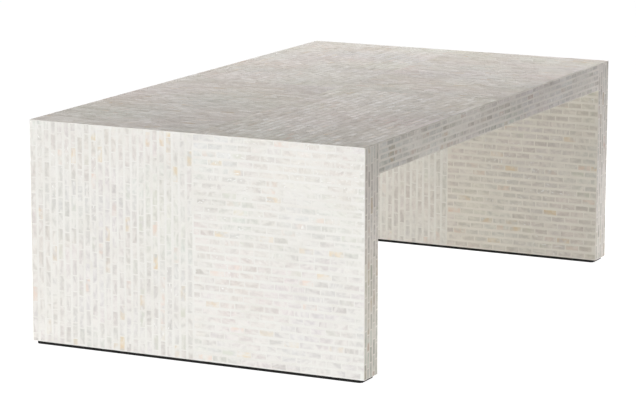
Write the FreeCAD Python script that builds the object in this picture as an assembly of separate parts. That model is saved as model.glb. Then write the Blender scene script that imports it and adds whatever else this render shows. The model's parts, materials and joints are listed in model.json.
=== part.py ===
import FreeCAD, Part
import os

# A waterfall coffee table: a hollow-core top on two full-width panel legs, faced all over with
# shell mosaic. Millimetres, X along the length, Y across the width, Z up. The origin is on the
# floor under the middle of the table. Left is -X, front is -Y.

# Overall sizes
length = 1219.2
width = 698.5
height = 432.8
panel = 57.15

# Mosaic, with the bed that holds it
shell_layer = 3.0

# Black strip under each leg
strip_height = 5.8
strip_side_setback = 2.0
strip_end_setback = 6.0
strip_corner_radius = 8.0
strip_ease = 0.5

# Boards and framing of the top
top_skin = 6.0
long_rail_width = 45.0
end_block_lap = 9.0
cross_rib_width = 18.0
cross_rib_count = 5

# Boards and framing of the legs
leg_skin = 6.0
stile_width = 45.0
leg_top_rail_depth = 60.0
leg_bottom_rail_depth = 45.0
leg_rib_width = 18.0
leg_rib_count = 3

# Dowels between each leg and the top
dowel_radius = 5.0
dowel_length = 60.0
dowel_chamfer = 1.0
dowel_clearance = 0.1
dowel_end_gap = 2.0
dowel_count = 5

# Countersunk screws that hold the strips
screw_length = 25.0
screw_point = 4.0
screw_shank_radius = 1.75
screw_head_radius = 3.6
screw_head_depth = 2.2
screw_sink = 0.6
screw_clearance = 0.1
screw_count = 5
recess_span = 3.8
recess_slot = 0.9
recess_depth = 1.5

# How far a cutting shape runs past what it cuts
overrun = 2.0

# Planes that several pieces share
half_length = length / 2
half_width = width / 2
underside = height - panel
core_half_length = half_length - shell_layer
core_half_width = half_width - shell_layer
core_top = height - shell_layer
leg_inner = half_length - panel
leg_core_inner = leg_inner + shell_layer
framing_low = underside + top_skin
framing_high = core_top - top_skin
block_inner = leg_core_inner - end_block_lap

X = FreeCAD.Vector(1, 0, 0)
Y = FreeCAD.Vector(0, 1, 0)
Z = FreeCAD.Vector(0, 0, 1)


def board(low, high):
    """A square-edged piece that fills the box between two corners."""
    spans = [sorted(pair) for pair in zip(low, high)]
    sizes = [end - start for start, end in spans]
    return Part.makeBox(*sizes, FreeCAD.Vector(*[start for start, end in spans]))


def spread(count, start, end):
    """The middles of equal bays between two places."""
    bay = (end - start) / count
    return [start + bay * (index + 1 / 2) for index in range(count)]


def even_gaps(count, start, end):
    """Places that part a span into equal gaps, one more gap than places."""
    gap = (end - start) / (count + 1)
    return [start + gap * (index + 1) for index in range(count)]


def save(name, shape):
    shape.exportStep(os.path.join("parts", name + ".step"))


# Mosaic sheets

def sheet(origin, run, rise, outward, spans, mitres):
    """A mosaic sheet on the plane through origin, cut at 45 degrees on the sides named in mitres.

    spans is (run start, run end, rise start, rise end); the sides have the same order."""
    def ring(depth):
        steps = [depth if mitre else 0 for mitre in mitres]
        run_0 = spans[0] + steps[0]
        run_1 = spans[1] - steps[1]
        rise_0 = spans[2] + steps[2]
        rise_1 = spans[3] - steps[3]
        corners = ((run_0, rise_0), (run_1, rise_0), (run_1, rise_1), (run_0, rise_1))
        return [origin + run * a + rise * b - outward * depth for a, b in corners]

    face_ring = ring(0)
    back_ring = ring(shell_layer)
    loops = [face_ring, back_ring]
    for index in range(len(face_ring)):
        after = (index + 1) % len(face_ring)
        loops.append([face_ring[index], face_ring[after], back_ring[after], back_ring[index]])
    faces = [Part.Face(Part.makePolygon(loop + loop[:1])) for loop in loops]
    solid = Part.makeSolid(Part.makeShell(faces))
    if solid.Volume < 0:
        solid.reverse()
    return solid


def save_top_mosaic():
    """Four quarters on the top, mitred along the table's outline."""
    origin = Z * height
    for side, near, far in (("front", -half_width, 0), ("back", 0, half_width)):
        for end, low, high in (("left", -half_length, 0), ("right", 0, half_length)):
            mitres = (end == "left", end == "right", side == "front", side == "back")
            quarter = sheet(origin, X, Y, Z, (low, high, near, far), mitres)
            save(f"top_mosaic_{side}_{end}", quarter)


def save_leg_face_mosaic(leg, sign):
    """Front and back halves on a leg's outer and inner faces."""
    for side, near, far in (("front", -half_width, 0), ("back", 0, half_width)):
        at_front = side == "front"
        mitres = (at_front, not at_front, False, True)
        spans = (near, far, strip_height, height)
        outer = sheet(X * (sign * half_length), Y, Z, X * sign, spans, mitres)
        save(f"{leg}_leg_outer_mosaic_{side}", outer)
        mitres = (at_front, not at_front, False, False)
        spans = (near, far, strip_height, underside)
        inner = sheet(X * (sign * leg_inner), Y, Z, X * -sign, spans, mitres)
        save(f"{leg}_leg_inner_mosaic_{side}", inner)


def save_edge_mosaic():
    """Strips on the front and back edges: one up each leg and one along the top between them."""
    for side, outward in (("front", Y * -1), ("back", Y)):
        origin = outward * half_width
        between = (-leg_inner, leg_inner, underside, height)
        strip = sheet(origin, X, Z, outward, between, (False, False, False, True))
        save(f"top_edge_mosaic_{side}", strip)
        for leg, sign in (("left", -1), ("right", 1)):
            run = X * sign
            below = (leg_inner, half_length, strip_height, underside)
            beside = (leg_inner, half_length, underside, height)
            lower = sheet(origin, run, Z, outward, below, (True, True, False, False))
            upper = sheet(origin, run, Z, outward, beside, (False, True, False, True))
            save(f"{leg}_leg_edge_mosaic_{side}", lower.fuse(upper).removeSplitter())


# Dowels and their holes

def dowel_places():
    return spread(dowel_count, -core_half_width + stile_width, core_half_width - stile_width)


def leg_core_middle(sign):
    return sign * (leg_core_inner + core_half_length) / 2


def dowel_holes(sign):
    """Cutters for one corner's dowels, with room for glue at both ends."""
    radius = dowel_radius + dowel_clearance
    depth = dowel_length / 2 + dowel_end_gap
    start = underside - depth
    holes = []
    for y in dowel_places():
        place = FreeCAD.Vector(leg_core_middle(sign), y, start)
        holes.append(Part.makeCylinder(radius, depth * 2, place, Z))
    return Part.makeCompound(holes)


def dowels(sign):
    pegs = []
    for y in dowel_places():
        place = FreeCAD.Vector(leg_core_middle(sign), y, underside - dowel_length / 2)
        peg = Part.makeCylinder(dowel_radius, dowel_length, place, Z)
        rims = [edge for edge in peg.Edges if isinstance(edge.Curve, Part.Circle)]
        pegs.append(peg.makeChamfer(dowel_chamfer, rims))
    return Part.makeCompound(pegs)


# Strips and their screws

def screw_places():
    reach = half_width - strip_end_setback
    return spread(screw_count, -reach, reach)


def screw_outline(grow, length_below):
    """A countersunk screw turned about Z, head down, with its head's face at zero.

    grow widens it all round, which gives the hole's shape; length_below adds a counterbore."""
    head = screw_head_radius + grow
    shank = screw_shank_radius + grow
    tip = screw_length + grow
    points = [(0, -length_below), (head, -length_below), (head, 0), (shank, screw_head_depth)]
    points += [(shank, tip - screw_point), (0, tip), (0, -length_below)]
    if length_below == 0:
        points.remove((head, 0))
    path = [FreeCAD.Vector(radius, 0, z) for radius, z in points]
    return Part.Face(Part.makePolygon(path)).revolve(FreeCAD.Vector(), Z)


def screw():
    solid = screw_outline(0, 0)
    for long_side, short_side in ((recess_span, recess_slot), (recess_slot, recess_span)):
        low = (-long_side / 2, -short_side / 2, -overrun)
        high = (long_side / 2, short_side / 2, recess_depth)
        solid = solid.cut(board(low, high))
    return solid


def put_screws(shape, sign):
    """Copies of a screw, or of its hole, along the middle of one strip."""
    copies = []
    for y in screw_places():
        copy = shape.copy()
        copy.translate(FreeCAD.Vector(sign * (leg_inner + half_length) / 2, y, screw_sink))
        copies.append(copy)
    return Part.makeCompound(copies)


def base_strip(sign):
    """The black strip, a little inside the leg's outline, with rounded corners and eased foot."""
    near = sign * (leg_inner + strip_side_setback)
    far = sign * (half_length - strip_side_setback)
    reach = half_width - strip_end_setback
    strip = board((near, -reach, 0), (far, reach, strip_height))
    upright = [edge for edge in strip.Edges if abs(edge.tangentAt(edge.FirstParameter).z) == 1]
    strip = strip.makeFillet(strip_corner_radius, upright)
    foot = [edge for edge in strip.Edges if edge.BoundBox.ZMax < strip_ease]
    return strip.makeChamfer(strip_ease, foot)


# Carcase of the top

def save_top_carcase():
    low = (-core_half_length, -core_half_width, underside)
    high = (core_half_length, core_half_width, framing_low)
    lower_skin = board(low, high)
    for leg, sign in (("left", -1), ("right", 1)):
        holes = dowel_holes(sign)
        lower_skin = lower_skin.cut(holes)
        near = (sign * block_inner, -core_half_width, framing_low)
        far = (sign * core_half_length, core_half_width, framing_high)
        save(f"top_end_block_{leg}", board(near, far).cut(holes))
    save("top_lower_skin", lower_skin)
    low = (-core_half_length, -core_half_width, framing_high)
    high = (core_half_length, core_half_width, core_top)
    save("top_upper_skin", board(low, high))
    rail_inner = core_half_width - long_rail_width
    for side, sign in (("front", -1), ("back", 1)):
        near = (-block_inner, sign * rail_inner, framing_low)
        far = (block_inner, sign * core_half_width, framing_high)
        save(f"top_long_rail_{side}", board(near, far))
    for index, x in enumerate(even_gaps(cross_rib_count, -block_inner, block_inner)):
        near = (x - cross_rib_width / 2, -rail_inner, framing_low)
        far = (x + cross_rib_width / 2, rail_inner, framing_high)
        save(f"top_cross_rib_{index + 1}", board(near, far))


# Carcase of a leg

def save_leg_carcase(leg, sign):
    skin_low = strip_height
    outer_framing = sign * (core_half_length - leg_skin)
    inner_framing = sign * (leg_core_inner + leg_skin)

    def across_leg(near_x, far_x, half_span):
        low = (near_x, -half_span, skin_low)
        high = (far_x, half_span, underside)
        return board(low, high)

    def framing(near_y, far_y, low_z, high_z):
        return board((inner_framing, near_y, low_z), (outer_framing, far_y, high_z))

    outer_skin = across_leg(outer_framing, sign * core_half_length, core_half_width)
    inner_skin = across_leg(sign * leg_core_inner, inner_framing, core_half_width)
    save(f"{leg}_leg_outer_skin", outer_skin)
    save(f"{leg}_leg_inner_skin", inner_skin)
    stile_inner = core_half_width - stile_width
    for side, way in (("front", -1), ("back", 1)):
        stile = framing(way * stile_inner, way * core_half_width, skin_low, underside)
        save(f"{leg}_leg_stile_{side}", stile)
    top_rail_low = underside - leg_top_rail_depth
    bottom_rail_high = skin_low + leg_bottom_rail_depth
    top_rail = framing(-stile_inner, stile_inner, top_rail_low, underside)
    save(f"{leg}_leg_top_rail", top_rail.cut(dowel_holes(sign)))
    screw_holes = put_screws(screw_outline(screw_clearance, screw_sink + overrun), sign)
    bottom_rail = framing(-stile_inner, stile_inner, skin_low, bottom_rail_high)
    save(f"{leg}_leg_bottom_rail", bottom_rail.cut(screw_holes))
    for index, y in enumerate(even_gaps(leg_rib_count, -stile_inner, stile_inner)):
        rib = framing(y - leg_rib_width / 2, y + leg_rib_width / 2, bottom_rail_high, top_rail_low)
        save(f"{leg}_leg_rib_{index + 1}", rib)
    save(f"{leg}_leg_base_strip", base_strip(sign).cut(screw_holes))
    save(f"{leg}_leg_strip_screws", put_screws(screw(), sign))
    save(f"{leg}_corner_dowels", dowels(sign))


os.makedirs("parts", exist_ok=True)
save_top_mosaic()
save_edge_mosaic()
save_top_carcase()
for leg_name, leg_sign in (("left", -1), ("right", 1)):
    save_leg_face_mosaic(leg_name, leg_sign)
    save_leg_carcase(leg_name, leg_sign)
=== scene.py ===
import json
from math import cos, radians, sin, tau
from typing import NamedTuple

import bpy
import numpy as np
from mathutils import Matrix, Vector


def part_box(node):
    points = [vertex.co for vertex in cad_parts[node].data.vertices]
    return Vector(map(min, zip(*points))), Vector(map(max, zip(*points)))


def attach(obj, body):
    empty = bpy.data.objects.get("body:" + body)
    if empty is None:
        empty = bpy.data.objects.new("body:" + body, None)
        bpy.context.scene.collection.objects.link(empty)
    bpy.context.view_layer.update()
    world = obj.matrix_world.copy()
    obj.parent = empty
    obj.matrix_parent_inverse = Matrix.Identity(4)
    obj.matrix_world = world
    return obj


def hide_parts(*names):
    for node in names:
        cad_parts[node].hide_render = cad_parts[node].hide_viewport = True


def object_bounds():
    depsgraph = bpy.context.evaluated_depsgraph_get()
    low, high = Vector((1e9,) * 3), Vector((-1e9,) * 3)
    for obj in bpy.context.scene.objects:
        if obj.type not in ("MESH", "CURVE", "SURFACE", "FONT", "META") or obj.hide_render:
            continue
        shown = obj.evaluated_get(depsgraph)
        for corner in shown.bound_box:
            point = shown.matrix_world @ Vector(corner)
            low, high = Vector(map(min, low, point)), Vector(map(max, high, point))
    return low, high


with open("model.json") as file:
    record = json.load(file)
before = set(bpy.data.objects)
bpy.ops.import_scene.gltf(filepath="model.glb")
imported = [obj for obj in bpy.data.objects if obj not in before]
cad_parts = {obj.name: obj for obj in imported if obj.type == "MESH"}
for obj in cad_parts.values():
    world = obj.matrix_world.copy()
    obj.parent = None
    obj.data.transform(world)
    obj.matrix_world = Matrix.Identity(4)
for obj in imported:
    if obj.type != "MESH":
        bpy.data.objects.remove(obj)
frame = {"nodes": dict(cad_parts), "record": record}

# The frame
cad_box = [list(corner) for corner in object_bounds()]
scene = bpy.context.scene

LEFT, RIGHT = Vector((-1, 0, 0)), Vector((1, 0, 0))
FRONT, BACK = Vector((0, -1, 0)), Vector((0, 1, 0))
UP = Vector((0, 0, 1))


def reach(node, direction):
    """How far a CAD node goes along a direction: its lowest and its highest place."""
    low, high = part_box(node)
    ends = [sorted((direction[axis] * low[axis], direction[axis] * high[axis])) for axis in range(3)]
    return sum(end[0] for end in ends), sum(end[1] for end in ends)


table_height = cad_box[1][2]
slab_underside = reach("top_edge_mosaic_front", UP)[0]

# Sizes of the mosaic in metres, and how many courses its edges have
sheet_thickness = 0.003
course_pitch = 0.01455
course_joint = 0.0042
edge_courses = 5
edge_joint = 0.0032
length_pitch = 0.03048
end_joint = 0.0015
shortest_piece = 0.0070
seam_margin = 0.0011

# Depths below the polished face, and the shapes of the rims, in metres
joint_depth = 0.00018
piece_foot = 0.0004
piece_bevel = 0.0002
piece_tilt = 0.00006
arris_radius = 0.0008

# How far hand laying strays, in metres and as shares of a piece
corner_radius = (0.0006, 0.0013)
width_stray = 0.0004
corner_stray = 0.00022
course_wander = 0.0005
wander_length = 0.23
length_stray = 0.035
bond_stray = 0.22

# How the grain of the shell is turned and moved, in metres, from piece to piece
grain_turn_stray = radians(12)
crossed_share = 0.15
grain_spread = 40.0

# Colours of the sorted shell, as linear light, and the share of pieces with each stain
GREY_SHELL = np.array((0.665, 0.642, 0.612))
PALE_SHELL = np.array((0.820, 0.806, 0.782))
AMBER_STAIN = np.array((0.75, 0.64, 0.47))
ROSE_STAIN = np.array((0.79, 0.68, 0.61))
SAGE_STAIN = np.array((0.67, 0.68, 0.61))
stain_shares = ((0.05, AMBER_STAIN), (0.045, ROSE_STAIN), (0.03, SAGE_STAIN))
stain_strengths = (0.35, 1.0)
# How much deeper the stains get on a face painted darker, as a power of its painted shade
stain_shade_power = 3
shell_sorting = (2.4, 1.3)

# Slow changes across a field, with their wavelengths in metres
drift_waves = 7
drift_wavelengths = (0.09, 0.5)

# Places on the legs' outer faces with more lustre, which gives them more gloss and more painted white
# glints:
# where they lie as shares of the face's length and width, and how much lustre they add
gloss_and_glint_places = {"front": ((0.12, 0.06), (0.42, 0.06), (0.68, 0.18), (0.06, 0.28)), "back": ()}
glint_spot_radius = 0.05
glint_spot_lift = 0.5

# How many times its depth the filler bed flares in the bake map, so that its sides have room
bake_flare = 3.0

# Points round a shell piece, three to each rubbed corner, and round the filler bed
outline_points = 12
bed_points = 4


class BatchAndShading(NamedTuple):
    """The shell and filler that one field is laid with, and the light and shade painted on it.

    shell, filler and arris are the painted shades of its pieces, of its filler and of the filler
    along its arrises: each face is painted lighter or darker for the light that falls on it, and
    the arrises of the edges and the top lighter still, as a painted highlight. warmth is the tint
    of all three, painted for the warmer or cooler light on the face. spread is how far the pieces'
    tones lie apart. The drifts are the sizes of the slow changes of tone, hue and lustre
    across the field. milkiness is how far the shell clouds to white in patches, and gloss
    is lustre that all its pieces have more or less of."""

    shell: float
    filler: float
    arris: float
    warmth: tuple = (1.0, 1.0, 1.0)
    spread: float = 1.0
    tone_drift: float = 0.010
    hue_drift: float = 0.009
    lustre_drift: float = 0.2
    milkiness: float = 1.0
    gloss: float = 0.0


# Painted light: the shades and tints below stand in for the light on each face. The legs' outer faces are
# painted lightest, their front halves lighter still; the inner faces' filler is painted lighter, their
# front halves warmer and their back halves lighter and whiter.
outer_batches_and_shading = {
    "front": BatchAndShading(shell=1.045, filler=1.01, arris=1.0, spread=0.85),
    "back": BatchAndShading(shell=1.0, filler=1.0, arris=1.0, spread=0.85),
}
inner_batches_and_shading = {
    "front": BatchAndShading(shell=1.0, filler=1.10, arris=1.0, warmth=(1.01, 0.988, 0.94), milkiness=0.6),
    "back": BatchAndShading(shell=1.07, filler=1.12, arris=1.0, warmth=(1.0, 1.002, 0.985), milkiness=0.6),
}
# Painted shade: the edges' pieces are painted darker and warmer, and their arrises lighter, as a painted
# highlight.
leg_edge_batch_and_shading = BatchAndShading(shell=0.84, filler=1.0, arris=1.05, warmth=(1.0, 0.96, 0.93), spread=2.4,
                       tone_drift=0.05, hue_drift=0.02, milkiness=0.5)
top_edge_batch_and_shading = leg_edge_batch_and_shading._replace(shell=0.82, filler=1.02, arris=1.18)
# Painted shade: the top is painted darker and warm, each quarter a little lighter or darker and warmer or
# cooler for the light across it, with a painted highlight along its arrises.
top_batch_and_shading = BatchAndShading(shell=1.0, filler=0.90, arris=1.18, tone_drift=0.014, hue_drift=0.03,
                  lustre_drift=0.1, milkiness=0.6)
top_batches_and_shading = {
    ("front", "left"): top_batch_and_shading._replace(
        shell=0.95, warmth=(1.0, 0.963, 0.907), spread=2.4, gloss=0.05),
    ("front", "right"): top_batch_and_shading._replace(
        shell=0.92, filler=0.87, warmth=(1.0, 0.968, 0.915), spread=1.7, gloss=-0.05),
    ("back", "left"): top_batch_and_shading._replace(
        shell=0.92, warmth=(1.0, 0.978, 0.932), spread=1.1, gloss=-0.05),
    ("back", "right"): top_batch_and_shading._replace(
        shell=0.94, filler=0.87, warmth=(1.0, 0.980, 0.937), spread=1.4, gloss=0.05),
}


# Planning the shell pieces
def course_plan(length, width, count, joint, rng):
    """The middle and the half size of every piece in one field, course by course."""
    pitch = width / count
    pieces = []
    for course in range(count):
        phase = rng.uniform(0, tau)
        bond = 0.5 * (course % 2) + rng.uniform(-bond_stray, bond_stray)
        ends = [-length_pitch * (bond % 1)]
        while ends[-1] < length:
            ends.append(ends[-1] + length_pitch * (1 + rng.uniform(-length_stray, length_stray)))
        for near, far in zip(ends, ends[1:]):
            near = max(near + end_joint / 2, seam_margin)
            far = min(far - end_joint / 2, length - seam_margin)
            if far - near < shortest_piece:
                continue
            middle = (near + far) / 2
            drift = course_wander * sin(phase + tau * middle / wander_length)
            across = (course + 0.5) * pitch + drift
            half_width = (pitch - joint + rng.uniform(-width_stray, width_stray)) / 2
            pieces.append((middle, across, (far - near) / 2, half_width))
    return np.array(pieces)


def piece_outlines(plan, rng):
    """The points round each piece, anticlockwise, with its corners rubbed round."""
    signs = np.array(((-1, -1), (1, -1), (1, 1), (-1, 1)))
    corners = plan[:, None, 0:2] + signs * plan[:, None, 2:4]
    corners = corners + rng.uniform(-corner_stray, corner_stray, corners.shape)
    back = np.roll(corners, 1, axis=1) - corners
    on = np.roll(corners, -1, axis=1) - corners
    back /= np.linalg.norm(back, axis=2, keepdims=True)
    on /= np.linalg.norm(on, axis=2, keepdims=True)
    radius = rng.uniform(*corner_radius, corners.shape[:2] + (1,))
    middle_share = 1 - 0.5 ** 0.5
    points = (corners + back * radius, corners + (back + on) * radius * middle_share,
              corners + on * radius)
    return np.stack(points, axis=2).reshape(len(plan), outline_points, 2)


def shape_pieces(plan, rng):
    """The outlines of the pieces' feet and of their polished tops, and how deep each top point is."""
    feet = piece_outlines(plan, rng)
    middles, half = plan[:, None, 0:2], plan[:, None, 2:4]
    tops = middles + (feet - middles) * ((half - piece_bevel) / half)
    slope = rng.uniform(-1, 1, (len(plan), 1, 2)) * piece_tilt / 2
    top_depths = piece_tilt + ((tops - middles) / half * slope).sum(2)
    return feet, tops, top_depths


def piece_polygons(count, first_foot, first_top):
    """The faces of all pieces: their undersides, then their rims, then their polished faces."""
    ring = range(outline_points)
    starts = range(0, count * outline_points, outline_points)
    polygons = [[first_foot + start + k for k in reversed(ring)] for start in starts]
    for start in starts:
        foot, top = first_foot + start, first_top + start
        for k in ring:
            after = (k + 1) % outline_points
            polygons.append([foot + k, foot + after, top + after, top + k])
    polygons += [[first_top + start + k for k in ring] for start in starts]
    return polygons


# The filler bed
def bed_rings(low, high, mitred):
    """Outlines of a bed from its back to its face, round its arrises, each with its depth."""
    turns = (radians(45), radians(67.5), radians(90))
    centre = joint_depth + arris_radius
    rings = [(sheet_thickness, sheet_thickness)]
    rings += [(centre - arris_radius * sin(turn), centre - arris_radius * cos(turn)) for turn in turns]
    for depth, inset in rings:
        near = [low[axis] + inset * mitred[axis][0] for axis in range(2)]
        far = [high[axis] - inset * mitred[axis][1] for axis in range(2)]
        yield depth, [(near[0], near[1]), (far[0], near[1]), (far[0], far[1]), (near[0], far[1])]


def lay_bed(rectangles, ways, batch_and_shading):
    """The filler bed's points, their depths and painted shades, and its faces.

    rectangles are its parts: their low and high corners, and the sides that meet another
    field at an arris. ways are the field's two directions."""
    places, depths, shades, polygons = [], [], [], []
    ring = range(bed_points)
    for low, high, met in rectangles:
        mitred = [[float(-way in met), float(way in met)] for way in ways]
        starts = []
        for depth, outline in bed_rings(low, high, mitred):
            starts.append(len(places))
            places += outline
            depths += [depth] * bed_points
        back, *rounded, face = starts
        # Painted light: the filler round the arrises takes the arris shade, a painted highlight, the rest
        # the face's painted shade
        shades += [batch_and_shading.filler] * bed_points + [batch_and_shading.arris] * bed_points * len(rounded)
        shades += [batch_and_shading.filler] * bed_points
        polygons.append([back + k for k in reversed(ring)])
        for inner, outer in zip(starts, starts[1:]):
            for k in ring:
                after = (k + 1) % bed_points
                polygons.append([inner + k, inner + after, outer + after, outer + k])
        polygons.append([face + k for k in ring])
    return places, depths, shades, polygons


# Colours and grain of the pieces
def slow_drift(middles, rng):
    """A value about zero for each piece, mostly within one, from long waves across the field."""
    total = np.zeros(len(middles))
    for wave in range(drift_waves):
        turn = rng.uniform(0, tau)
        along = middles @ np.array((cos(turn), sin(turn)))
        total += np.sin(tau * along / rng.uniform(*drift_wavelengths) + rng.uniform(0, tau))
    return total * (2 / drift_waves) ** 0.5


def shell_colours(middles, batch_and_shading, rng):
    """A colour for each piece, from shells sorted by tone, and the stain that a few have, both
    painted lighter or darker and tinted for the light on the face.

    The stains of a field painted darker are deeper too, by a power of its painted shade."""
    count = len(middles)
    # The face's painted shade, tinted for the light on it
    shade = batch_and_shading.shell * np.array(batch_and_shading.warmth)
    tone = rng.beta(*shell_sorting, count)[:, None]
    tone = tone.mean() + (tone - tone.mean()) * batch_and_shading.spread
    colour = GREY_SHELL + (PALE_SHELL - GREY_SHELL) * tone
    kind = rng.uniform(0, 1, count)[:, None]
    strength = rng.uniform(*stain_strengths, count)[:, None]
    stain = np.zeros((count, 4))
    limit = 0
    for share, tint in stain_shares:
        chosen = (kind >= limit) & (kind < limit + share)
        tinted = np.tile(tint ** (1 / batch_and_shading.shell ** stain_shade_power) * shade, (count, 1))
        stain = np.where(chosen, np.concatenate((tinted, strength), axis=1), stain)
        limit += share
    drift = 1 + batch_and_shading.tone_drift * slow_drift(middles, rng)[:, None]
    hues = np.stack([slow_drift(middles, rng) for channel in range(3)], axis=1)
    drift = drift + batch_and_shading.hue_drift * hues
    return np.clip(colour * drift * shade, 0, 1), stain


def shell_lustre(middles, size, batch_and_shading, gloss_and_glint_spots, rng):
    """A lustre from 0 to 1 for each piece, higher round the given spots of a field; it sets the piece's
    gloss and its painted white glints.
    """
    lustre = batch_and_shading.gloss + rng.uniform(0, 1, len(middles)) + batch_and_shading.lustre_drift * slow_drift(middles, rng)
    for spot in gloss_and_glint_spots:
        away = middles - np.array(spot) * size
        lustre += glint_spot_lift * np.exp(-(away ** 2).sum(axis=1) / (2 * glint_spot_radius ** 2))
    return np.clip(lustre, 0, 1)[:, None]


def grain_places(from_middle, count, rng):
    """Where the pieces' feet and tops lie in the grain, each piece in its own turned patch."""
    turn = rng.normal(0, grain_turn_stray, count)
    turn = (turn + radians(90) * (rng.uniform(0, 1, count) < crossed_share))[:, None]
    shift = rng.uniform(0, grain_spread, (count, 2))[:, None]
    patches = []
    for local in from_middle:
        along = local[..., 0] * np.cos(turn) - local[..., 1] * np.sin(turn)
        beside = local[..., 0] * np.sin(turn) + local[..., 1] * np.cos(turn)
        patches.append((np.stack((along, beside), axis=2) + shift).reshape(-1, 2))
    return patches


def bake_places(places, depths, bed_count, size):
    """Where a field's points lie in its bake map: seen from above, with the bed flared."""
    in_bed = np.arange(len(places))[:, None] < bed_count
    flared = places + bake_flare * depths * np.sign(places - size / 2) * in_bed
    border = bake_flare * sheet_thickness
    return (flared + border) / (size + 2 * border)


def for_points(bed_value, bed_count, piece_values):
    """One value for each point of a field: the bed's, then each piece's for its foot and its top."""
    pieces = np.repeat(piece_values, outline_points, axis=0)
    return np.concatenate((np.full((bed_count, piece_values.shape[1]), bed_value), pieces, pieces))


def write_map(mesh, name, places):
    """A texture map that gives each face corner the place of its point."""
    corners = np.zeros(len(mesh.loops), dtype=np.int32)
    mesh.loops.foreach_get("vertex_index", corners)
    mesh.uv_layers.new(name=name).uv.foreach_set("vector", places[corners].ravel())


def write_colours(mesh, name, colours):
    """A colour for each point of a mesh."""
    layer = mesh.color_attributes.new(name, "FLOAT_COLOR", "POINT")
    layer.data.foreach_set("color", colours.ravel())


def paint_field(mesh, middles, size, bed_shades, batch_and_shading, gloss_and_glint_spots, rng):
    """The colour, lustre and stain of a field's pieces, and the painted shade and painted light tint of its
    filler.
    """
    bed_count = len(bed_shades)
    colours, stains = shell_colours(middles, batch_and_shading, rng)
    lustre = shell_lustre(middles, size, batch_and_shading, gloss_and_glint_spots, rng)
    write_colours(mesh, "shell_colour", for_points(1.0, bed_count, np.hstack((colours, lustre))))
    write_colours(mesh, "shell_stain", for_points(0.0, bed_count, stains))
    # Painted light: the filler's painted shade, lighter on the arrises as a painted highlight, tinted for
    # the light on the face
    filler = np.full((len(mesh.vertices), 1), batch_and_shading.filler)
    filler[:bed_count, 0] = bed_shades
    milk = np.full_like(filler, batch_and_shading.milkiness)
    write_colours(mesh, "filler_shade", np.hstack((filler * np.array(batch_and_shading.warmth), milk)))


# The mosaic fields
def lay_field(name, node, faces, runs, met, batch_and_shading, seed, courses=None, joint=course_joint,
              split=None, gloss_and_glint_spots=()):
    """One field of the mosaic: shell pieces in courses on a bed of filler.

    faces is the way its polished face looks, runs the way its courses go, and met the
    sides where another field meets it at an arris. courses is how many it has, or as many
    as fit. split is a height at which an upright field's arrises change, with the sides
    that are met above it. The last argument lists spots with more lustre, which gives them
    more gloss and more painted white glints."""
    rng = np.random.default_rng(seed)
    across = faces.cross(runs)
    run_low, run_high = reach(node, runs)
    across_low, across_high = reach(node, across)
    length, width = run_high - run_low, across_high - across_low
    size = np.array((length, width))
    corner = runs * run_low + across * across_low + faces * reach(node, faces)[1]

    rectangles = [((0.0, 0.0), (length, width), met)]
    if split:
        height, met_above = split
        cut = height - run_low
        rectangles = [((0.0, 0.0), (cut, width), met), ((cut, 0.0), (length, width), met_above)]
    bed_places, bed_depths, bed_shades, polygons = lay_bed(rectangles, (runs, across), batch_and_shading)
    bed_count, bed_faces = len(bed_places), len(polygons)

    plan = course_plan(length, width, courses or round(width / course_pitch), joint, rng)
    middles, half = plan[:, 0:2], plan[:, None, 2:4]
    feet, tops, top_depths = shape_pieces(plan, rng)
    first_top = bed_count + len(plan) * outline_points
    polygons += piece_polygons(len(plan), bed_count, first_top)
    places = np.concatenate((bed_places, feet.reshape(-1, 2), tops.reshape(-1, 2)))
    foot_depths = np.full(top_depths.size, piece_foot)
    depths = np.concatenate((bed_depths, foot_depths, top_depths.ravel()))[:, None]
    axes = [np.array(direction) for direction in (runs, across, faces)]
    points = np.array(corner) + places[:, :1] * axes[0] + places[:, 1:] * axes[1] - depths * axes[2]

    mesh = bpy.data.meshes.new(name)
    mesh.from_pydata(points.tolist(), [], polygons)
    mesh.materials.append(shell_pieces)
    mesh.materials.append(white_filler)
    finishes = np.arange(len(polygons)) < bed_faces
    mesh.polygons.foreach_set("material_index", finishes.astype(np.int32))

    from_middle = feet - middles[:, None], tops - middles[:, None]
    on_piece = [(local / half).reshape(-1, 2) for local in from_middle]
    grain = grain_places(from_middle, len(plan), rng)
    write_map(mesh, "OFBake", bake_places(places, depths, bed_count, size))
    write_map(mesh, "on_piece", np.concatenate((np.zeros((bed_count, 2)), *on_piece)))
    write_map(mesh, "shell_figure", np.concatenate((places[:bed_count], *grain)))
    paint_field(mesh, middles, size, bed_shades, batch_and_shading, gloss_and_glint_spots, rng)

    field = bpy.data.objects.new(name, mesh)
    scene.collection.objects.link(field)
    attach(field, "root")
    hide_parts(node)


# Shader tools, with the span that noise mostly keeps to and the span of a share
noise_span = (0.3, 0.7)
whole_span = (0.0, 1.0)


def feed(tree, node, **inputs):
    """Gives a node's inputs a number, a colour or a socket each; s0 is its first input."""
    for label, value in inputs.items():
        socket = node.inputs[int(label[1:]) if label[1:].isdigit() else label.replace("_", " ")]
        if isinstance(value, bpy.types.NodeSocket):
            tree.links.new(value, socket)
        else:
            socket.default_value = value


def shader(tree, kind, settings=None, **inputs):
    """A shader node with its settings and its inputs."""
    made = tree.nodes.new("ShaderNode" + kind)
    for setting, value in (settings or {}).items():
        setattr(made, setting, value)
    feed(tree, made, **inputs)
    return made


def rescale(tree, value, span, to_span=whole_span):
    """A value moved from one span to another, and held inside it."""
    made = shader(tree, "MapRange", None, Value=value, From_Min=span[0], From_Max=span[1],
                  To_Min=to_span[0], To_Max=to_span[1])
    return made.outputs["Result"]


def calculate(tree, operation, one, other):
    """The sum, product, power or greater of two values."""
    return shader(tree, "Math", {"operation": operation}, s0=one, s1=other).outputs[0]


def multiply(tree, one, other):
    """The product of two values."""
    return calculate(tree, "MULTIPLY", one, other)


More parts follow.
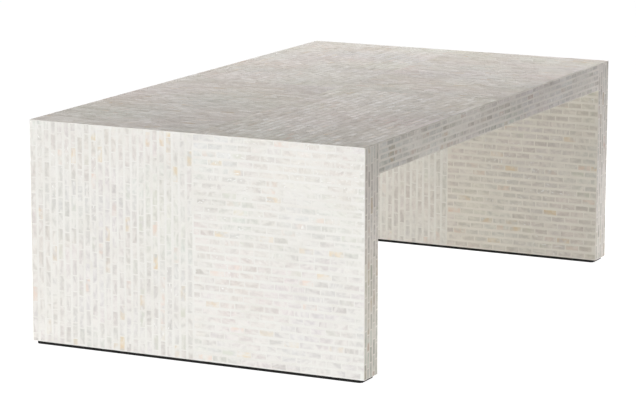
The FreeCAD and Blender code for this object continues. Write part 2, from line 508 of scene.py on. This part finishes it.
def blend_colours(tree, amount, one, other, way="MIX"):
    """Two colours mixed by a share."""
    made = shader(tree, "Mix", {"data_type": "RGBA", "blend_type": way}, s0=amount, s6=one, s7=other)
    return made.outputs[2]


def scaled(tree, colour, amount):
    """A colour made lighter or darker."""
    return shader(tree, "VectorMath", {"operation": "SCALE"}, s0=colour, Scale=amount).outputs[0]


def noise(tree, vector, scale, detail=2.0, distortion=0.0):
    """Smooth noise from 0 to 1."""
    made = shader(tree, "TexNoise", None, Vector=vector, Scale=scale, Detail=detail, Distortion=distortion)
    return made.outputs["Fac"]


def stretched(tree, vector, scale):
    """Coordinates stretched along each axis."""
    return shader(tree, "Mapping", None, Vector=vector, Scale=scale).outputs[0]


def object_place(tree):
    """Coordinates in metres, in the table's own frame."""
    return tree.nodes.new("ShaderNodeTexCoord").outputs["Object"]


def map_place(tree, name):
    """Coordinates from one of the mosaic's texture maps."""
    return shader(tree, "UVMap", {"uv_map": name}).outputs[0]


def point_colour(tree, name):
    """The colour and the fourth value that the mosaic's points carry."""
    return shader(tree, "Attribute", {"attribute_name": name}).outputs


def bumped(tree, height, strength, depth):
    """The way a surface looks with a relief on it, whose depth is in metres."""
    return shader(tree, "Bump", None, Strength=strength, Distance=depth, Height=height).outputs[0]


def new_group(name, inputs, outputs):
    """A node group with named inputs and outputs, what it is given, and its end node."""
    tree = bpy.data.node_groups.new(name, "ShaderNodeTree")
    kinds = {"value": "NodeSocketFloat", "colour": "NodeSocketColor", "vector": "NodeSocketVector"}
    for label, kind in inputs.items():
        tree.interface.new_socket(name=label, in_out="INPUT", socket_type=kinds[kind])
    for label, kind in outputs.items():
        tree.interface.new_socket(name=label, in_out="OUTPUT", socket_type=kinds[kind])
    return tree, tree.nodes.new("NodeGroupInput").outputs, tree.nodes.new("NodeGroupOutput")


def use_group(tree, group, **inputs):
    """A node group placed in a material with its own values."""
    made = shader(tree, "Group", {"node_tree": group}, **inputs)
    return made.outputs


def new_material(name):
    """A material with an empty principled surface, its node tree and that surface."""
    made = bpy.data.materials.new(name)
    made.use_nodes = True
    return made, made.node_tree, made.node_tree.nodes["Principled BSDF"]


# Effects that more than one finish uses
def make_soiling():
    """Soft clouds of soil over a colour, and where they lie."""
    tree, given, end = new_group(
        "Soft soiling", {"Colour": "colour", "Soil": "colour", "Amount": "value", "Size": "value"},
        {"Colour": "colour", "Mask": "value"})
    cloud = noise(tree, object_place(tree), given["Size"], detail=4.0, distortion=0.4)
    mask = multiply(tree, rescale(tree, cloud, span=(0.45, 0.75)), given["Amount"])
    feed(tree, end, Colour=blend_colours(tree, mask, given["Colour"], given["Soil"]), Mask=mask)
    return tree


def make_scratches():
    """Fine scratches in patches: where they lie, and their depth."""
    tree, given, end = new_group(
        "Fine scratches", {"Amount": "value", "Size": "value"}, {"Height": "value", "Mask": "value"})
    place = stretched(tree, object_place(tree), scale=(9.0, 1.0, 5.0))
    hair = noise(tree, place, given["Size"], detail=3.0, distortion=2.4)
    rising = rescale(tree, hair, span=(0.495, 0.505))
    falling = rescale(tree, hair, span=(0.505, 0.515), to_span=(1.0, 0.0))
    patchy = rescale(tree, noise(tree, object_place(tree), scale=14.0), span=(0.5, 0.7))
    mask = multiply(tree, multiply(tree, rising, falling), multiply(tree, patchy, given["Amount"]))
    feed(tree, end, Mask=mask, Height=rescale(tree, mask, whole_span, to_span=(0.0, -1.0)))
    return tree


def make_wood_figure():
    """Growth rings and fibres along X, and the fibres' relief."""
    tree, given, end = new_group(
        "Wood figure", {"Vector": "vector", "Pale": "colour", "Dark": "colour", "Ring width": "value"},
        {"Colour": "colour", "Height": "value"})
    bend = noise(tree, stretched(tree, given["Vector"], scale=(1.2, 5.0, 5.0)), scale=2.2, detail=3.0)
    rings = shader(tree, "TexWave", {"bands_direction": "Z", "wave_profile": "SAW"}, Vector=given["Vector"],
                   Scale=given["Ring width"], Distortion=14.0, Detail=2.0, Detail_Scale=0.35)
    thin = stretched(tree, given["Vector"], scale=(6.0, 420.0, 420.0))
    fibres = noise(tree, thin, scale=3.0, detail=3.0)
    grain = calculate(tree, "ADD", rescale(tree, rings.outputs["Fac"], whole_span, to_span=(0.05, 0.75)),
                      rescale(tree, fibres, span=(0.35, 0.7), to_span=(-0.15, 0.3)))
    colour = blend_colours(tree, grain, given["Pale"], given["Dark"])
    light = rescale(tree, bend, noise_span, to_span=(0.85, 1.1))
    feed(tree, end, Colour=scaled(tree, colour, light), Height=fibres)
    return tree


soiling = make_soiling()
scratches = make_scratches()
wood_figure = make_wood_figure()


# Polished shell
growth_waves, growth_light = (80.0, 460.0, 1.0), (0.96, 1.035)
cloud_waves, cloud_light = 130.0, (0.95, 1.045)
smoke_waves, smoke_light = (42.0, 80.0, 1.0), (0.88, 1.06)
smoke_span, milky_span = (0.28, 0.72), (0.46, 0.64)
# Painted glints: white specks on the most lustrous pieces, their waves per metre, slant, noise span, the
# lustre they start from and how white they get at most
glint_waves, glint_slant, glint_span = (110, 280, 1), radians(35), (0.62, 0.72)
glint_lustre, most_glint = (0.86, 1.0), 0.9
stain_waves, stain_span = 60.0, (0.38, 0.60)
nacre_waves, nacre_span, nacre_polish = 68.0, (0.36, 0.64), (0.0, 0.26)
pastel_waves = 17.0
# The white of the painted glints
GLINT_WHITE = (0.97, 0.97, 0.955, 1)
FILLER_THROUGH_SHELL = (0.82, 0.81, 0.78, 1)
PASTELS = ((0.30, (1.0, 0.980, 0.982, 1)), (0.44, (1.0, 0.994, 0.986, 1)),
           (0.56, (0.988, 0.996, 0.988, 1)), (0.72, (0.984, 0.988, 1.0, 1)))
end_rim, side_rim, rim_patches = (0.88, 1.0), (0.45, 1.0), (0.35, 1.0)
most_rubbed = 0.75
piece_polish = (0.0, 0.60)
shell_roughness = (0.42, 0.30)
polish_roughness = 0.18
body_gloss = 0.08


def pastel_play(tree):
    """Faint rose, cream, green and blue that come and go over the whole mosaic."""
    ramp = shader(tree, "ValToRGB", None, Fac=noise(tree, object_place(tree), pastel_waves, 1.0))
    stops = ramp.color_ramp.elements
    for stop, (position, colour) in zip((stops[0], stops[1]), (PASTELS[0], PASTELS[-1])):
        stop.position = position
        stop.color = colour
    for position, colour in PASTELS[1:-1]:
        stops.new(position).color = colour
    return ramp.outputs["Color"]


def painted_glints(tree, figure, lustre):
    """Slanting specks painted white on the pieces with the most lustre, a painted glint."""
    slanted = shader(tree, "Mapping", None, Vector=figure, Rotation=(0, 0, glint_slant), Scale=glint_waves)
    glint_noise = noise(tree, slanted.outputs[0], scale=1.0, detail=1.0, distortion=0.6)
    return multiply(tree, rescale(tree, glint_noise, glint_span),
                    rescale(tree, lustre, glint_lustre, to_span=(0.0, most_glint)))


def thin_rims(tree, clouds):
    """Where a piece is rubbed thin, near its ends and its sides."""
    from_middle = shader(tree, "VectorMath", {"operation": "ABSOLUTE"}, s0=map_place(tree, "on_piece"))
    ways = shader(tree, "SeparateXYZ", None, Vector=from_middle.outputs[0]).outputs
    nearness = calculate(tree, "MAXIMUM", rescale(tree, ways["X"], end_rim),
                         rescale(tree, ways["Y"], side_rim))
    return multiply(tree, nearness, rescale(tree, clouds, noise_span, rim_patches))


def make_shell():
    """Polished shell: figured, some of it stained, milky or rubbed thin in places, and with painted
    white glints; its colours carry each face's painted shade and tint.
    """
    made, tree, surface = new_material("Polished shell pieces")
    # The pieces' colours and the filler shade behind them carry each face's painted shade and tint
    piece, stain = point_colour(tree, "shell_colour"), point_colour(tree, "shell_stain")
    behind = point_colour(tree, "filler_shade")
    figure = map_place(tree, "shell_figure")
    growth = noise(tree, stretched(tree, figure, growth_waves), scale=1.0, detail=2.0, distortion=0.9)
    clouds = noise(tree, figure, cloud_waves, detail=1.5, distortion=0.5)
    smoke = noise(tree, stretched(tree, figure, smoke_waves), scale=1.0, detail=1.5, distortion=0.6)
    lines = multiply(tree, rescale(tree, growth, noise_span, growth_light),
                     rescale(tree, clouds, noise_span, cloud_light))
    smoky = rescale(tree, smoke, smoke_span, smoke_light)
    figured = scaled(tree, piece["Color"], multiply(tree, smoky, lines))
    spots = rescale(tree, noise(tree, figure, stain_waves, detail=1.5, distortion=0.3), stain_span)
    stained = blend_colours(tree, multiply(tree, spots, stain["Alpha"]), figured, stain["Color"])
    pearly = blend_colours(tree, 1.0, stained, pastel_play(tree), "MULTIPLY")
    # Painted glints: white specks mixed into the colour where the lustre is highest
    glinted = blend_colours(tree, painted_glints(tree, figure, piece["Alpha"]), pearly, GLINT_WHITE)

    milky = multiply(tree, rescale(tree, smoke, milky_span), behind["Alpha"])
    thinness = calculate(tree, "MAXIMUM", thin_rims(tree, clouds), milky)
    filler_behind = blend_colours(tree, 1.0, behind["Color"], FILLER_THROUGH_SHELL, "MULTIPLY")
    rubbed = blend_colours(tree, multiply(tree, thinness, most_rubbed), glinted, filler_behind)

    nacre = rescale(tree, noise(tree, figure, nacre_waves, distortion=0.2), nacre_span, nacre_polish)
    polish = calculate(tree, "ADD", rescale(tree, piece["Alpha"], whole_span, piece_polish), nacre)
    hairs = use_group(tree, scratches, Amount=0.6, Size=26.0)
    relief = calculate(tree, "ADD", growth, hairs["Height"])
    feed(tree, surface, Base_Color=rubbed, Roughness=rescale(tree, clouds, noise_span, shell_roughness),
         Coat_Weight=polish, Coat_Roughness=polish_roughness, Specular_IOR_Level=body_gloss,
         Normal=bumped(tree, relief, strength=0.35, depth=0.00012))
    return made


# Filler between the pieces
FILLER_DULL, FILLER_CLEAN = (0.80, 0.79, 0.76, 1), (0.86, 0.855, 0.83, 1)
FILLER_SOIL = (0.66, 0.63, 0.57, 1)
speckle_waves = 900.0
filler_roughness = (0.36, 0.46)
filler_polish = 0.28


def make_filler():
    """White joint filler, ground flush with the shell, a little soiled, and painted lighter or darker face
    by face for the light on it.
    """
    made, tree, surface = new_material("White joint filler")
    speckle = rescale(tree, noise(tree, object_place(tree), speckle_waves), noise_span)
    plain = blend_colours(tree, speckle, FILLER_DULL, FILLER_CLEAN)
    # Painted light: the filler's colour is multiplied by each face's painted shade and tint, lighter along
    # the arrises as a painted highlight
    tone = blend_colours(tree, 1.0, plain, point_colour(tree, "filler_shade")["Color"], "MULTIPLY")
    soiled = use_group(tree, soiling, Colour=tone, Soil=FILLER_SOIL, Amount=0.35, Size=22.0)
    hairs = use_group(tree, scratches, Amount=0.5, Size=26.0)
    relief = calculate(tree, "ADD", speckle, hairs["Height"])
    feed(tree, surface, Base_Color=soiled["Colour"],
         Roughness=rescale(tree, speckle, whole_span, filler_roughness),
         Coat_Weight=filler_polish, Coat_Roughness=polish_roughness, Specular_IOR_Level=body_gloss,
         Normal=bumped(tree, relief, strength=0.3, depth=0.00008))
    return made


# Painted board under the top
PAINT_DULL, PAINT_CLEAN = (0.72, 0.71, 0.67, 1), (0.77, 0.76, 0.73, 1)
PAINT_SOIL = (0.55, 0.52, 0.46, 1)
roller_waves, patch_waves = 420.0, 6.0
paint_roughness = (0.42, 0.56)


def make_painted_board():
    """Off-white paint put on with a roller."""
    made, tree, surface = new_material("Painted board")
    place = object_place(tree)
    roller = noise(tree, place, roller_waves, detail=3.0)
    patches = rescale(tree, noise(tree, place, patch_waves, detail=3.0), span=(0.35, 0.65))
    tone = blend_colours(tree, patches, PAINT_DULL, PAINT_CLEAN)
    soiled = use_group(tree, soiling, Colour=tone, Soil=PAINT_SOIL, Amount=0.3, Size=9.0)
    hairs = use_group(tree, scratches, Amount=0.7, Size=11.0)
    relief = calculate(tree, "ADD", roller, hairs["Height"])
    feed(tree, surface, Base_Color=soiled["Colour"],
         Roughness=rescale(tree, roller, noise_span, paint_roughness),
         Normal=bumped(tree, relief, strength=0.35, depth=0.0003))
    return made


# Fibreboard skins
BOARD_DARK, BOARD_PALE = (0.33, 0.22, 0.13, 1), (0.47, 0.34, 0.21, 1)
BOARD_SOIL = (0.28, 0.19, 0.12, 1)
flock_waves = 1400.0
board_roughness = (0.85, 0.7)


def make_fibreboard():
    """Bare fibreboard with its flock of fine fibres."""
    made, tree, surface = new_material("Fibreboard")
    flock = rescale(tree, noise(tree, object_place(tree), flock_waves, detail=3.0), noise_span)
    tone = blend_colours(tree, flock, BOARD_DARK, BOARD_PALE)
    soiled = use_group(tree, soiling, Colour=tone, Soil=BOARD_SOIL, Amount=0.4, Size=7.0)
    feed(tree, surface, Base_Color=soiled["Colour"],
         Roughness=rescale(tree, flock, whole_span, board_roughness),
         Normal=bumped(tree, flock, strength=0.4, depth=0.0002))
    return made


# Timbers and dowels
TIMBER_PALE, TIMBER_DARK = (0.68, 0.48, 0.27, 1), (0.46, 0.28, 0.13, 1)
BEECH_PALE, BEECH_DARK = (0.66, 0.45, 0.27, 1), (0.52, 0.32, 0.18, 1)
timber_rings, beech_rings = 38.0, 90.0
wood_roughness = (0.5, 0.68)
turn_to_grain = {"X": (0, 0, 0), "Y": (0, 0, radians(-90)), "Z": (0, radians(90), 0)}


def make_wood(name, lengthwise, pale, dark, ring_width):
    """A wood whose grain runs along one axis of the table."""
    made, tree, surface = new_material(name)
    turned = shader(tree, "Mapping", None, Vector=object_place(tree), Rotation=turn_to_grain[lengthwise])
    figure = use_group(tree, wood_figure, Vector=turned.outputs[0], Pale=pale, Dark=dark,
                       Ring_width=ring_width)
    feed(tree, surface, Base_Color=figure["Colour"],
         Roughness=rescale(tree, figure["Height"], noise_span, wood_roughness),
         Normal=bumped(tree, figure["Height"], strength=0.4, depth=0.0003))
    return made


# Black foot strip
STRIP_BLACK, STRIP_WORN = (0.006, 0.006, 0.006, 1), (0.012, 0.012, 0.012, 1)
STRIP_DUST = (0.035, 0.032, 0.028, 1)
pebble_waves = 1100.0
strip_roughness = (0.62, 0.75)
strip_gloss = 0.2


def make_black_strip():
    """Pebbled black plastic with a little dust on it."""
    made, tree, surface = new_material("Black foot strip")
    pebble = noise(tree, object_place(tree), pebble_waves)
    tone = blend_colours(tree, rescale(tree, pebble, span=(0.35, 0.65)), STRIP_BLACK, STRIP_WORN)
    soiled = use_group(tree, soiling, Colour=tone, Soil=STRIP_DUST, Amount=0.3, Size=30.0)
    hairs = use_group(tree, scratches, Amount=1.0, Size=18.0)
    relief = calculate(tree, "ADD", pebble, hairs["Height"])
    feed(tree, surface, Base_Color=soiled["Colour"],
         Roughness=rescale(tree, pebble, noise_span, strip_roughness),
         Specular_IOR_Level=strip_gloss, Normal=bumped(tree, relief, strength=0.4, depth=0.0002))
    return made


# Steel of the strip screws
STEEL_DULL, STEEL_BRIGHT = (0.56, 0.56, 0.55, 1), (0.66, 0.66, 0.68, 1)
STEEL_SOIL = (0.3, 0.27, 0.23, 1)
turning_waves, plate_waves = (400.0, 400.0, 2600.0), 260.0
steel_roughness = (0.28, 0.42)


def make_screw_steel():
    """Zinc-plated steel with fine turning marks."""
    made, tree, surface = new_material("Zinc-plated screw steel")
    place = object_place(tree)
    turning = noise(tree, stretched(tree, place, turning_waves), scale=1.0)
    plate = rescale(tree, noise(tree, place, plate_waves, detail=3.0), noise_span)
    tone = blend_colours(tree, plate, STEEL_DULL, STEEL_BRIGHT)
    soiled = use_group(tree, soiling, Colour=tone, Soil=STEEL_SOIL, Amount=0.4, Size=160.0)
    feed(tree, surface, Base_Color=soiled["Colour"], Metallic=1.0,
         Roughness=rescale(tree, turning, noise_span, steel_roughness),
         Normal=bumped(tree, turning, strength=0.3, depth=0.00005))
    return made


shell_pieces = make_shell()
white_filler = make_filler()
timbers = {axis: make_wood("Framing timber along " + axis, axis, TIMBER_PALE, TIMBER_DARK, timber_rings)
           for axis in "XYZ"}
finish_of = {
    "shell_mosaic": shell_pieces,
    "painted_board": make_painted_board(),
    "fibreboard": make_fibreboard(),
    "dowel_beech": make_wood("Beech dowel", "X", BEECH_PALE, BEECH_DARK, beech_rings),
    "black_strip": make_black_strip(),
    "screw_steel": make_screw_steel(),
}

# The CAD nodes take their finish from the record's slots, and timbers have grain along their length
for part in frame["record"]["subparts"]:
    if part["material_slot"] == "framing_timber":
        low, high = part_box(part["node"])
        finish = timbers["XYZ"[max(range(3), key=lambda axis: high[axis] - low[axis])]]
    else:
        finish = finish_of[part["material_slot"]]
    for material_slot in frame["nodes"][part["node"]].material_slots:
        material_slot.material = finish

# Laying the mosaic: each face in two halves, the top in four quarters
seed = 100
for end, end_way in (("left", LEFT), ("right", RIGHT)):
    for half, half_way in (("front", FRONT), ("back", BACK)):
        runs = BACK if half == "front" else UP
        lay_field(f"{end}_leg_outer_shell_{half}", f"{end}_leg_outer_mosaic_{half}", end_way, runs,
                  [half_way, UP], outer_batches_and_shading[half], seed, gloss_and_glint_spots=gloss_and_glint_places[half])
        lay_field(f"{end}_leg_inner_shell_{half}", f"{end}_leg_inner_mosaic_{half}", -end_way, runs,
                  [half_way], inner_batches_and_shading[half], seed + 1)
        lay_field(f"{end}_leg_edge_shell_{half}", f"{end}_leg_edge_mosaic_{half}", half_way, UP,
                  [LEFT, RIGHT], leg_edge_batch_and_shading, seed + 2, edge_courses, edge_joint,
                  split=(slab_underside, [end_way, UP]))
        runs = RIGHT if (half == "front") == (end == "left") else BACK
        lay_field(f"top_shell_{half}_{end}", f"top_mosaic_{half}_{end}", UP, runs,
                  [half_way, end_way], top_batches_and_shading[half, end], seed + 3)
        seed += 4
for half, half_way in (("front", FRONT), ("back", BACK)):
    lay_field(f"top_edge_shell_{half}", f"top_edge_mosaic_{half}", half_way, RIGHT, [UP],
              top_edge_batch_and_shading, seed, edge_courses, edge_joint)
    seed += 1

# Floor, and a white studio for camera, glossy and transmission rays
floor_half = 12.0
floor_glow = 0.985
SHADOW_CATCHING_GREY = (0.30, 0.30, 0.30, 1)
PALE_FLOOR = (0.82, 0.81, 0.79, 1)
WHITE = (1, 1, 1, 1)


def seen_white(tree):
    """1 for the rays that should meet the white studio: camera, glossy and transmission."""
    rays = tree.nodes.new("ShaderNodeLightPath").outputs
    glossy = calculate(tree, "MAXIMUM", rays["Is Camera Ray"], rays["Is Glossy Ray"])
    return calculate(tree, "MAXIMUM", glossy, rays["Is Transmission Ray"])


def make_floor_finish():
    """A pale floor that is white for the camera and still takes the table's shadow."""
    made, tree, surface = new_material("Pale studio floor")
    tree.nodes.remove(surface)
    glow = shader(tree, "Emission", None, Color=WHITE, Strength=floor_glow)
    faint = shader(tree, "BsdfDiffuse", None, Color=SHADOW_CATCHING_GREY)
    pale = shader(tree, "BsdfDiffuse", None, Color=PALE_FLOOR)
    shown = shader(tree, "AddShader", None, s0=glow.outputs[0], s1=faint.outputs[0])
    mixed = shader(tree, "MixShader", None, s0=seen_white(tree), s1=pale.outputs[0], s2=shown.outputs[0])
    feed(tree, tree.nodes["Material Output"], Surface=mixed.outputs[0])
    return made


floor_mesh = bpy.data.meshes.new("studio_floor")
floor_mesh.from_pydata([(-floor_half, -floor_half, 0), (floor_half, -floor_half, 0),
                        (floor_half, floor_half, 0), (-floor_half, floor_half, 0)], [], [(0, 1, 2, 3)])
floor_mesh.materials.append(make_floor_finish())
floor = bpy.data.objects.new("studio_floor", floor_mesh)
scene.collection.objects.link(floor)

# Light of the studio's walls, which fades from the horizon upwards
horizon_light = ((LEFT, (1.054, 1.016, 0.988)), (BACK, (2.15, 2.12, 2.09)), (RIGHT, (0.8, 0.8, 0.8)))
fade_power = 3.0

world = bpy.data.worlds.new("White studio")
scene.world = world
world.use_nodes = True
tree = world.node_tree
tree.nodes.remove(tree.nodes["Background"])
way = tree.nodes.new("ShaderNodeTexCoord").outputs["Generated"]
height = shader(tree, "SeparateXYZ", None, Vector=way).outputs["Z"]
strength = calculate(tree, "POWER", rescale(tree, height, whole_span, (1.0, 0.0)), fade_power)
glow_colour = (0.0, 0.0, 0.0)
for direction, colour in horizon_light:
    side = shader(tree, "VectorMath", {"operation": "DOT_PRODUCT"}, s0=way, s1=direction).outputs["Value"]
    lobe = scaled(tree, colour, rescale(tree, side, whole_span))
    glow_colour = shader(tree, "VectorMath", None, s0=glow_colour, s1=lobe).outputs[0]
ambient = shader(tree, "Background", None, Color=glow_colour, Strength=strength)
white = shader(tree, "Background", None, Color=WHITE, Strength=1.0)
mixed = shader(tree, "MixShader", None, s0=seen_white(tree), s1=ambient.outputs[0], s2=white.outputs[0])
feed(tree, tree.nodes["World Output"], Surface=mixed.outputs[0])


# Lamps
def softbox(name, place, aim, size, power, colour):
    """A soft lamp that looks at a point, and lights the table without a mirror image in its polish."""
    lamp = bpy.data.lights.new(name, "AREA")
    lamp.shape = "RECTANGLE"
    lamp.size, lamp.size_y = size
    lamp.energy = power
    lamp.color = colour
    made = bpy.data.objects.new(name, lamp)
    made.location = place
    made.rotation_euler = (Vector(place) - Vector(aim)).to_track_quat("Z", "Y").to_euler()
    made.visible_camera = False
    made.visible_glossy = False
    scene.collection.objects.link(made)


softbox("low_end_softbox", place=(-3.45, 0.2, 0.12), aim=(0, 0, 0.12), size=(3.8, 0.2),
        power=67.0, colour=(0.983, 0.994, 1.0))
softbox("far_softbox", place=(1.7, -0.3, 1.1), aim=(0.5, -0.1, 0.43), size=(1.0, 0.6),
        power=18.6, colour=(0.96, 0.94, 0.95))
softbox("back_softbox", place=(0.15, 1.5, 1.1), aim=(0.0, 0.2, 0.43), size=(1.6, 0.6),
        power=12.9, colour=(1.0, 0.928, 0.885))
softbox("overhead_softbox", place=(0.1, 0.2, 2.8), aim=(0.0, 0.0, 0.43), size=(2.0, 2.0),
        power=5.0, colour=(1.0, 0.76, 0.55))
softbox("near_front_card", place=(-0.45, -0.8, 0.03), aim=(-0.45, -0.35, 0.1), size=(0.95, 0.06),
        power=1.39, colour=(0.992, 1.0, 0.967))
softbox("far_front_card", place=(0.68, -0.8, 0.03), aim=(0.68, -0.35, 0.1), size=(0.25, 0.06),
        power=0.71, colour=(1.0, 0.985, 1.0))

# Camera at the photograph's viewing angle, with its distances in table heights
camera_turn, camera_down, camera_roll = radians(26.202), radians(11.007), radians(0.083)
camera_distance = 13.751 * table_height
aim_right, aim_up = -0.09145 * table_height, -0.05779 * table_height
sensor_width, focal_length = 36.0, 166.42

look = Vector((cos(camera_turn) * cos(camera_down), sin(camera_turn) * cos(camera_down), -sin(camera_down)))
level = Vector((sin(camera_turn), -cos(camera_turn), 0))
upright = level.cross(look)
aim = Vector((0, 0, table_height / 2)) + level * aim_right + upright * aim_up
right_axis = level * cos(camera_roll) + upright * sin(camera_roll)
up_axis = upright * cos(camera_roll) - level * sin(camera_roll)
lens = bpy.data.cameras.new("photo_camera")
lens.sensor_width = sensor_width
lens.lens = focal_length
camera = bpy.data.objects.new("photo_camera", lens)
turned = Matrix((right_axis, up_axis, -look)).transposed().to_4x4()
camera.matrix_world = Matrix.Translation(aim - look * camera_distance) @ turned
scene.collection.objects.link(camera)
scene.camera = camera

scene.view_settings.view_transform = "Standard"
